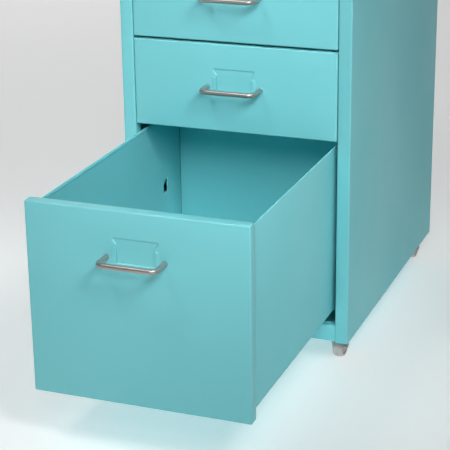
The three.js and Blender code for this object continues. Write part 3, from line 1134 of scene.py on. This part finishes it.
def buildFork(place, swivel):
    # a pressed U: its width in y changes along the path from one leg's foot, over the crown, to the other
    node = f"caster_fork_{place}"
    low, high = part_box(node)
    sheet, fold, eye = casterShape["sheet"], casterShape["fold"], casterShape["eye"]
    side, crown = (high.x - low.x) / 2 - sheet / 2, high.z - sheet / 2
    axleZ, axleY = low.z + eye, swivel.y + casterShape["trail"]
    front, rear = swivel.y - casterShape["crownFront"], swivel.y + casterShape["crownRear"]
    shoulder = high.z - casterShape["shoulder"]
    feet = [axleZ + eye * math.sin(math.radians(-90 + 15 * step)) * 0.999 for step in range(7)]
    slope = [axleZ + (shoulder - axleZ) * step / 5 for step in range(1, 6)]

    def span(z):
        if z <= axleZ:
            reach = math.sqrt(max(eye * eye - (axleZ - z) ** 2, 1e-10))
            return axleY - reach, axleY + reach
        rise = min((z - axleZ) / (shoulder - axleZ), 1.0)
        near = axleY - eye + (front - axleY + eye) * ease(rise)
        return near, axleY + eye + (rear - axleY - eye) * rise

    leg = [(-side, z, 0) for z in feet + slope] + [(-side, crown, fold)]
    corners = leg + [(-x, z, radius) for x, z, radius in reversed(leg)]
    bm = bmesh.new()
    rings = []
    for first, second in sheetPairs(corners, sheet, casterShape["foldSteps"]):
        middle = (first.y + second.y) / 2
        near, far = span(middle)
        cut = min(max((middle - (crown - fold)) / fold, 0), 1) * casterShape["crownCut"]
        spots = ((first, near + cut), (first, far - cut), (second, far - cut), (second, near + cut))
        rings.append([bm.verts.new((swivel.x + point.x, y, point.y)) for point, y in spots])
    bm = softenEdges(capped(bm, rings), casterShape["forkEdge"], 60)
    settle(addPiece(f"casterFork_{place}", bm, [zinc], 35), f"caster_{place}_fork", "zinc_plate", node)


def buildCasterPlate(place):
    node = f"caster_plate_{place}"
    low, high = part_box(node)
    centre, hub = (low + high) / 2, (high.x - low.x) / 2 - casterShape["plateCorner"]
    outline = []
    for quarter, (sx, sy) in enumerate(((1, 1), (-1, 1), (-1, -1), (1, -1))):
        for step in range(7):
            angle = math.pi / 2 * (quarter + step / 6)
            x = centre.x + sx * hub + casterShape["plateCorner"] * math.cos(angle)
            outline.append((x, centre.y + sy * hub + casterShape["plateCorner"] * math.sin(angle)))
    bm = bmesh.new()
    rings = [[bm.verts.new((x, y, z)) for x, y in outline] for z in (high.z - casterShape["sheet"], high.z)]
    bm = softenEdges(capped(bm, rings), casterShape["plateEdge"], 60)
    settle(addPiece(f"casterPlate_{place}", bm, [zinc], 35), "cabinet", "zinc_plate", node)


def buildRace(place):
    # the ball race and the riveted kingpin hang under the plate; x runs up in the turned profile
    low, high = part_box(f"caster_plate_{place}")
    centre, under = (low + high) / 2, high.z - casterShape["sheet"]
    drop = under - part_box(f"caster_fork_{place}")[1].z - casterShape["raceGap"]
    foot = low.z - under
    race = [(0, 0.1 * mm), (10.5 * mm, 0.1 * mm), (10.5 * mm, -0.35 * drop), (9.2 * mm, -0.45 * drop)]
    race += [(9.2 * mm, -0.6 * drop), (9.8 * mm, -0.7 * drop), (9.4 * mm, -drop), (3 * mm, -drop)]
    race += [(3 * mm, foot + 1.6 * mm), (5 * mm, foot + 1.3 * mm), (4.3 * mm, foot + 0.4 * mm), (0, foot)]
    upright = Matrix.Translation((centre.x, centre.y, under)) @ Matrix.Rotation(-math.pi / 2, 4, "Y")
    bm = moved(turned(rounded(race, casterShape["raceRound"]), 48), upright)
    settle(addPiece(f"casterRace_{place}", bm, [zinc], 40), "cabinet", "zinc_plate")


casterPlaces = [f"{end}_{side}" for end in ("front", "rear") for side in ("left", "right")]
for casterPlace in casterPlaces:
    plateLow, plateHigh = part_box(f"caster_plate_{casterPlace}")
    buildWheel(casterPlace)
    buildAxle(casterPlace)
    buildFork(casterPlace, (plateLow + plateHigh) / 2)
    buildCasterPlate(casterPlace)
    buildRace(casterPlace)
print("casters assembled")


# Geometry Nodes: screw heads on marked points, and the ribs in the wheels' sides

screwShape = {
    "radius": 2.6 * mm,
    "height": 1.5 * mm,
    "sink": 0.05 * mm,
    "segments": 24,
    "slot": 0.7 * mm,
    "casterScale": 0.75,
    "casterInset": 3.4 * mm,
    "backScale": 1.0,
    "backInset": 6.5 * mm,
    "backEnd": 40 * mm,
    "backCount": 5,
}


def buildMasterScrew():
    # a pan head with a cross recess, pointing up z, under the origin by a hair
    bm = bmesh.new()
    radius, height = screwShape["radius"], screwShape["height"]
    arm, width = 0.5 * radius, screwShape["slot"] / 2
    profile = [(1, -screwShape["sink"]), (1, 0.45 * height), (0.86, 0.8 * height), (0.6, 0.96 * height)]
    rings = []
    for share, z in profile:
        rings.append([bm.verts.new((x, y, z)) for x, y in circle(share * radius, screwShape["segments"])])
    joinAll(bm, rings)
    bm.faces.new(rings[0])
    cross = [(arm, -width), (arm, width), (width, width), (width, arm), (-width, arm), (-width, width)]
    cross += [(-x, -y) for x, y in cross]
    rim = [bm.verts.new((x, y, 0.97 * height)) for x, y in cross]
    floor = [bm.verts.new((x * 0.8, y * 0.8, 0.35 * height)) for x, y in cross]
    joinRings(bm, rim, floor)
    bm.faces.new(floor)
    outside = [e for e in bm.edges if all(v in rings[-1] for v in e.verts)]
    inside = [e for e in bm.edges if all(v in rim for v in e.verts)]
    bmesh.ops.bridge_loops(bm, edges=outside + inside)
    return addPiece("masterScrew", bm, [zinc], 40)


def newTree(name, inputs):
    tree = bpy.data.node_groups.new(name, "GeometryNodeTree")
    tree.interface.new_socket("Geometry", in_out="INPUT", socket_type="NodeSocketGeometry")
    for label, kind in inputs:
        tree.interface.new_socket(label, in_out="INPUT", socket_type=kind)
    tree.interface.new_socket("Geometry", in_out="OUTPUT", socket_type="NodeSocketGeometry")
    return tree, tree.nodes.new("NodeGroupInput"), tree.nodes.new("NodeGroupOutput")


def finishTree(tree, geometry, entry, leave):
    realize = tree.nodes.new("GeometryNodeRealizeInstances")
    coat = tree.nodes.new("GeometryNodeSetMaterial")
    tree.links.new(geometry, realize.inputs[0])
    tree.links.new(realize.outputs[0], coat.inputs["Geometry"])
    tree.links.new(entry.outputs["Material"], coat.inputs["Material"])
    tree.links.new(coat.outputs[0], leave.inputs[0])


def makeScrewTree():
    tree, entry, leave = newTree(
        "screwsOnPoints",
        [
            ("Screw", "NodeSocketObject"), ("Scale", "NodeSocketFloat"),
            ("Seed", "NodeSocketInt"), ("Material", "NodeSocketMaterial"),
        ],
    )
    facing = tree.nodes.new("GeometryNodeInputNamedAttribute")
    facing.data_type = "FLOAT_VECTOR"
    facing.inputs["Name"].default_value = "facing"
    align = tree.nodes.new("FunctionNodeAlignRotationToVector")
    align.axis = "Z"
    tree.links.new(facing.outputs["Attribute"], align.inputs["Vector"])
    spin = tree.nodes.new("FunctionNodeRandomValue")  # each screw stops at its own angle
    spin.data_type = "FLOAT_VECTOR"
    spin.inputs["Min"].default_value = (0, 0, 0)
    spin.inputs["Max"].default_value = (0, 0, math.pi / 2)
    tree.links.new(entry.outputs["Seed"], spin.inputs["Seed"])
    turn = tree.nodes.new("FunctionNodeRotateRotation")
    turn.rotation_space = "LOCAL"
    tree.links.new(align.outputs[0], turn.inputs[0])
    tree.links.new(spin.outputs["Value"], turn.inputs[1])
    source = tree.nodes.new("GeometryNodeObjectInfo")
    tree.links.new(entry.outputs["Screw"], source.inputs["Object"])
    place = tree.nodes.new("GeometryNodeInstanceOnPoints")
    tree.links.new(entry.outputs["Geometry"], place.inputs["Points"])
    tree.links.new(source.outputs["Geometry"], place.inputs["Instance"])
    tree.links.new(turn.outputs[0], place.inputs["Rotation"])
    tree.links.new(entry.outputs["Scale"], place.inputs["Scale"])
    finishTree(tree, place.outputs[0], entry, leave)
    return tree


def makeRibTree():
    # thin radial ribs round a wheel's hub, in the plane across x
    tree, entry, leave = newTree(
        "wheelRibs",
        [
            ("Count", "NodeSocketInt"), ("Middle radius", "NodeSocketFloat"),
            ("Rib size", "NodeSocketVector"), ("Center", "NodeSocketVector"),
            ("Material", "NodeSocketMaterial"),
        ],
    )
    circle = tree.nodes.new("GeometryNodeMeshCircle")
    tree.links.new(entry.outputs["Count"], circle.inputs["Vertices"])
    tree.links.new(entry.outputs["Middle radius"], circle.inputs["Radius"])
    spot = tree.nodes.new("GeometryNodeInputPosition")
    align = tree.nodes.new("FunctionNodeAlignRotationToVector")
    align.axis = "X"
    tree.links.new(spot.outputs[0], align.inputs["Vector"])
    rib = tree.nodes.new("GeometryNodeMeshCube")
    tree.links.new(entry.outputs["Rib size"], rib.inputs["Size"])
    place = tree.nodes.new("GeometryNodeInstanceOnPoints")
    tree.links.new(circle.outputs[0], place.inputs["Points"])
    tree.links.new(rib.outputs["Mesh"], place.inputs["Instance"])
    tree.links.new(align.outputs[0], place.inputs["Rotation"])
    stand = tree.nodes.new("GeometryNodeTransform")
    stand.inputs["Rotation"].default_value = (0, math.pi / 2, 0)
    tree.links.new(place.outputs[0], stand.inputs["Geometry"])
    tree.links.new(entry.outputs["Center"], stand.inputs["Translation"])
    finishTree(tree, stand.outputs[0], entry, leave)
    return tree


def growPiece(name, points, tree, values, facing=None):
    # runs a tree on loose points, and keeps its result as a plain mesh
    mesh = bpy.data.meshes.new(name + "Points")
    mesh.from_pydata(points, [], [])
    if facing:
        attribute = mesh.attributes.new("facing", "FLOAT_VECTOR", "POINT")
        attribute.data.foreach_set("vector", [value for way in facing for value in way])
    holder = bpy.data.objects.new(name + "Holder", mesh)
    bpy.context.scene.collection.objects.link(holder)
    modifier = holder.modifiers.new(name, "NODES")
    modifier.node_group = tree
    sockets = {item.name: item.identifier for item in tree.interface.items_tree if item.in_out == "INPUT"}
    for label, value in values.items():
        modifier[sockets[label]] = value
    bpy.context.view_layer.update()
    evaluated = holder.evaluated_get(bpy.context.evaluated_depsgraph_get())
    made = bpy.data.meshes.new_from_object(evaluated)
    made.name = name
    piece = bpy.data.objects.new(name, made)
    bpy.context.scene.collection.objects.link(piece)
    bpy.data.objects.remove(holder)
    bpy.data.meshes.remove(mesh)
    return piece


screwTree, ribTree = makeScrewTree(), makeRibTree()
masterScrew = buildMasterScrew()


def placeCasterScrews():
    points, facing = [], []
    for place in casterPlaces:
        low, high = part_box(f"caster_plate_{place}")
        centre, reach = (low + high) / 2, (high.x - low.x) / 2 - screwShape["casterInset"]
        for sx in (-1, 1):
            for sy in (-1, 1):
                points.append((centre.x + sx * reach, centre.y + sy * reach, high.z - casterShape["sheet"]))
                facing.append((0, 0, -1))
    values = {"Screw": masterScrew, "Scale": screwShape["casterScale"], "Seed": 4, "Material": zinc}
    settle(growPiece("casterScrews", points, screwTree, values, facing), "cabinet", "zinc_plate")


def placeBackScrews():
    low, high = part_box("side_panel_left")
    out, end, count = abs(low.x) - screwShape["backInset"], screwShape["backEnd"], screwShape["backCount"]
    points, facing = [], []
    for side in (-1, 1):
        for index in range(count):
            z = low.z + end + (high.z - low.z - 2 * end) * index / (count - 1)
            points.append((side * out, high.y, z))
            facing.append((0, 1, 0))
    values = {"Screw": masterScrew, "Scale": screwShape["backScale"], "Seed": 9, "Material": zinc}
    settle(growPiece("backScrews", points, screwTree, values, facing), "cabinet", "zinc_plate")


ribShape = {
    "count": 8,
    "width": 0.9 * mm,
    "depth": 1.0 * mm,
    "inner": 4.9 * mm,
    "rim": 4.2 * mm,
    "inset": 1.5 * mm,
}


def placeWheelRibs(place):
    low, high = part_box(f"caster_wheel_{place}")
    centre, radius, half = (low + high) / 2, (high.z - low.z) / 2, (high.x - low.x) / 2
    inner, outer = ribShape["inner"], radius - ribShape["rim"]
    for name, side in (("inner", -1), ("outer", 1)):
        values = {
            "Count": ribShape["count"],
            "Middle radius": (inner + outer) / 2,
            "Rib size": (outer - inner, ribShape["width"], ribShape["depth"]),
            "Center": (centre.x + side * (half - ribShape["inset"]), centre.y, centre.z),
            "Material": plastic,
        }
        ribs = growPiece(f"casterRibs_{place}_{name}", [(0, 0, 0)], ribTree, values)
        settle(ribs, f"caster_{place}_wheel", "grey_plastic")


placeCasterScrews()
placeBackScrews()
for casterPlace in casterPlaces:
    placeWheelRibs(casterPlace)
bpy.data.objects.remove(masterScrew)
print("screws and ribs placed")
